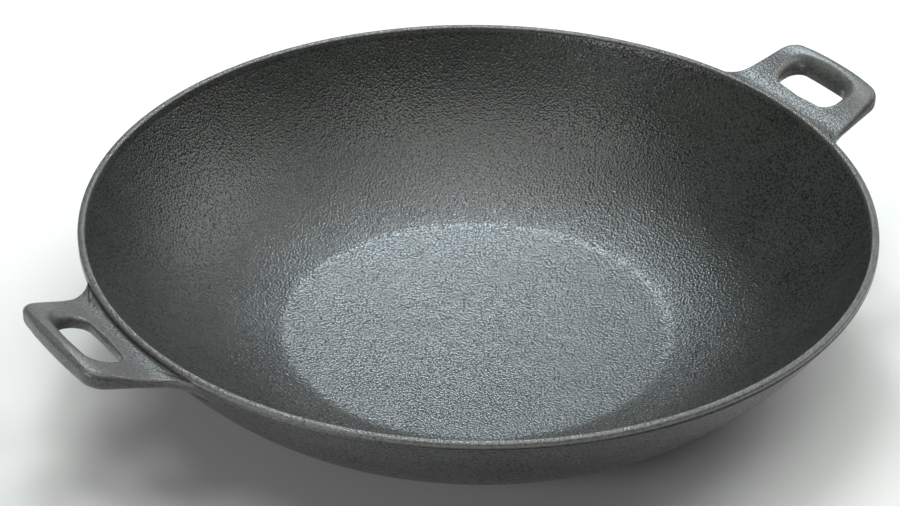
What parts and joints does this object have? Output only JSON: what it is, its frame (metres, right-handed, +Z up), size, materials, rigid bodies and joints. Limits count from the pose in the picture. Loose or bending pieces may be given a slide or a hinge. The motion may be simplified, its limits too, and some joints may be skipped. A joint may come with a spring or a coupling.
{
  "type": "wok",
  "caption": "Shallow round cast iron wok with a flat base, a curved wall, an upright rim band and opposed loop handles.",
  "frame": {"origin": "centre of the flat underside", "axes": "+Z up along the bowl's axis, +X through the slots of the handles, towards the right handle"},
  "size_m": [0.4308, 0.36, 0.081],
  "materials": {
    "bowl_iron": "seasoned sand casting, fine pebbled grain",
    "handle_iron": "seasoned sand casting, fine pebbled grain"
  },
  "bodies": {
    "root": {"bowl": "bowl_iron", "left_handle": "handle_iron", "right_handle": "handle_iron"}
  },
  "joints": []
}
